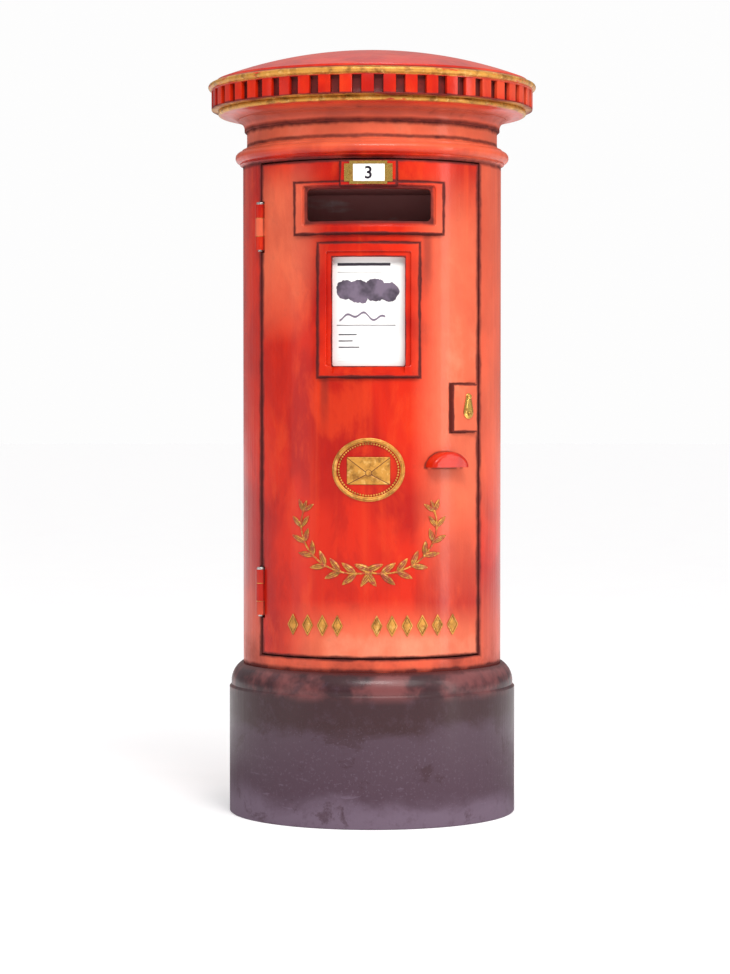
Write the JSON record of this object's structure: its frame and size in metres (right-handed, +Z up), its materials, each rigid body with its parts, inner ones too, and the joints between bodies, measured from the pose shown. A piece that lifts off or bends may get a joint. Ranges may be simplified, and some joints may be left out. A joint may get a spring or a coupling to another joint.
{
  "type": "pillar mailbox",
  "caption": "Round cast pillar mailbox with a domed cap, hung front door, posting slot with a chute, lock and letter guard, on a hollow plinth.",
  "frame": {"origin": "on the ground at the centre of the plinth's foot", "axes": "+Z up, -Y out of the door, +X to the right as seen from in front of the door"},
  "size_m": [0.6519, 0.652, 1.51],
  "materials": {
    "red_enamel": "gloss red-orange paint over cast iron, weathered in broad patches",
    "black_enamel": "satin black-purple paint over cast iron, dusty towards the ground",
    "gold_paint": "gold leaf paint on the raised castings",
    "brass": "worn polished brass",
    "white_enamel": "white vitreous enamel on sheet steel",
    "steel_fastener": "dull zinc",
    "black_steel": "satin black paint on steel",
    "galvanised_sheet": "dull galvanised sheet",
    "lock_steel": "oiled machined steel"
  },
  "bodies": {
    "box": {"plinth": "black_enamel", "shell": "red_enamel", "cap": "red_enamel", "floor_plate": "black_steel", "floor_screws": "steel_fastener", "plinth_bolts": "steel_fastener", "plinth_nuts": "steel_fastener", "cap_bolts": "steel_fastener", "cap_nuts": "steel_fastener", "hinge_pin_lower": "steel_fastener", "hinge_pin_upper": "steel_fastener", "hinge_washers": "brass", "jamb_left": "black_steel", "jamb_right": "black_steel", "jamb_screws_left": "steel_fastener", "jamb_screws_right": "steel_fastener", "guard_bracket_lower": "black_steel", "guard_bracket_upper": "black_steel", "catch_bracket": "black_steel"},
    "door": {"door": "red_enamel", "door_pull": "red_enamel", "pull_bolts": "steel_fastener", "medallion": "gold_paint", "laurel_sprays": "red_enamel", "lozenge_row": "gold_paint", "number_holder": "brass", "holder_screws": "brass", "notice_plate": "white_enamel", "notice_backplate": "galvanised_sheet", "button_studs": "steel_fastener", "letter_chute": "galvanised_sheet", "chute_bolts": "steel_fastener", "lock_case": "black_steel", "lock_cover": "lock_steel", "lock_cover_screws": "steel_fastener", "lock_bolts": "steel_fastener", "lock_posts": "lock_steel", "lock_levers": "brass", "lever_springs": "lock_steel", "key_cover_pin": "brass"},
    "number_plate": {"number_plate": "white_enamel"},
    "deadbolt": {"deadbolt": "lock_steel"},
    "key_barrel": {"key_barrel": "brass"},
    "key_cover": {"key_cover": "brass"},
    "guard": {"guard_frame": "black_steel", "guard_rods": "black_steel"},
    "guard_catch": {"guard_catch": "black_steel"},
    "turn_button_left_lower": {"turn_button_left_lower": "lock_steel"},
    "turn_button_left_upper": {"turn_button_left_upper": "lock_steel"},
    "turn_button_right_lower": {"turn_button_right_lower": "lock_steel"},
    "turn_button_right_upper": {"turn_button_right_upper": "lock_steel"}
  },
  "joints": [
    {"name": "door_hinge", "type": "hinge", "parent": "box", "child": "door", "pos_m": [-0.21288, -0.14752, 0.8], "axis": [0, 0, -1], "range_deg": [0, 110]},
    {"name": "guard_hinge", "type": "hinge", "parent": "box", "child": "guard", "pos_m": [-0.14938, -0.12534, 0.716], "axis": [0, 0, -1], "range_deg": [0, 83]},
    {"name": "guard_catch_turn", "type": "hinge", "parent": "box", "child": "guard_catch", "pos_m": [0.1654, -0.12665, 0.7133], "axis": [0, 0, -1], "range_deg": [0, 90]},
    {"name": "number_plate_slide", "type": "slide", "parent": "door", "child": "number_plate", "axis": [1, 0, 0], "range_m": [0, 0.07]},
    {"name": "key_cover_swing", "type": "hinge", "parent": "door", "child": "key_cover", "pos_m": [0.19197, -0.1844, 0.826], "axis": [0.6947, -0.7193, 0], "range_deg": [-110, 110]},
    {"name": "key_barrel_turn", "type": "hinge", "parent": "door", "child": "key_barrel", "pos_m": [0.17391, -0.16569, 0.796], "axis": [-0.6947, 0.7193, 0], "range_deg": [0, 180]},
    {"name": "deadbolt_slide", "type": "slide", "parent": "door", "child": "deadbolt", "axis": [0.7193, 0.6947, 0], "range_m": [0, 0.014]},
    {"name": "turn_button_left_lower_turn", "type": "hinge", "parent": "door", "child": "turn_button_left_lower", "pos_m": [-0.08635, -0.21921, 0.92], "axis": [0.3665, 0.9304, 0], "range_deg": [0, 90]},
    {"name": "turn_button_left_upper_turn", "type": "hinge", "parent": "door", "child": "turn_button_left_upper", "pos_m": [-0.08635, -0.21921, 1.056], "axis": [-0.3665, -0.9304, 0], "range_deg": [0, 90]},
    {"name": "turn_button_right_lower_turn", "type": "hinge", "parent": "door", "child": "turn_button_right_lower", "pos_m": [0.08635, -0.21921, 0.92], "axis": [0.3665, -0.9304, 0], "range_deg": [0, 90]},
    {"name": "turn_button_right_upper_turn", "type": "hinge", "parent": "door", "child": "turn_button_right_upper", "pos_m": [0.08635, -0.21921, 1.056], "axis": [-0.3665, 0.9304, 0], "range_deg": [0, 90]}
  ],
  "couplings": [
    {"joint": "guard_hinge", "follows": "door_hinge", "ratio": 0.75},
    {"joint": "key_barrel_turn", "follows": "deadbolt_slide", "rad_per_m": 224.39}
  ]
}
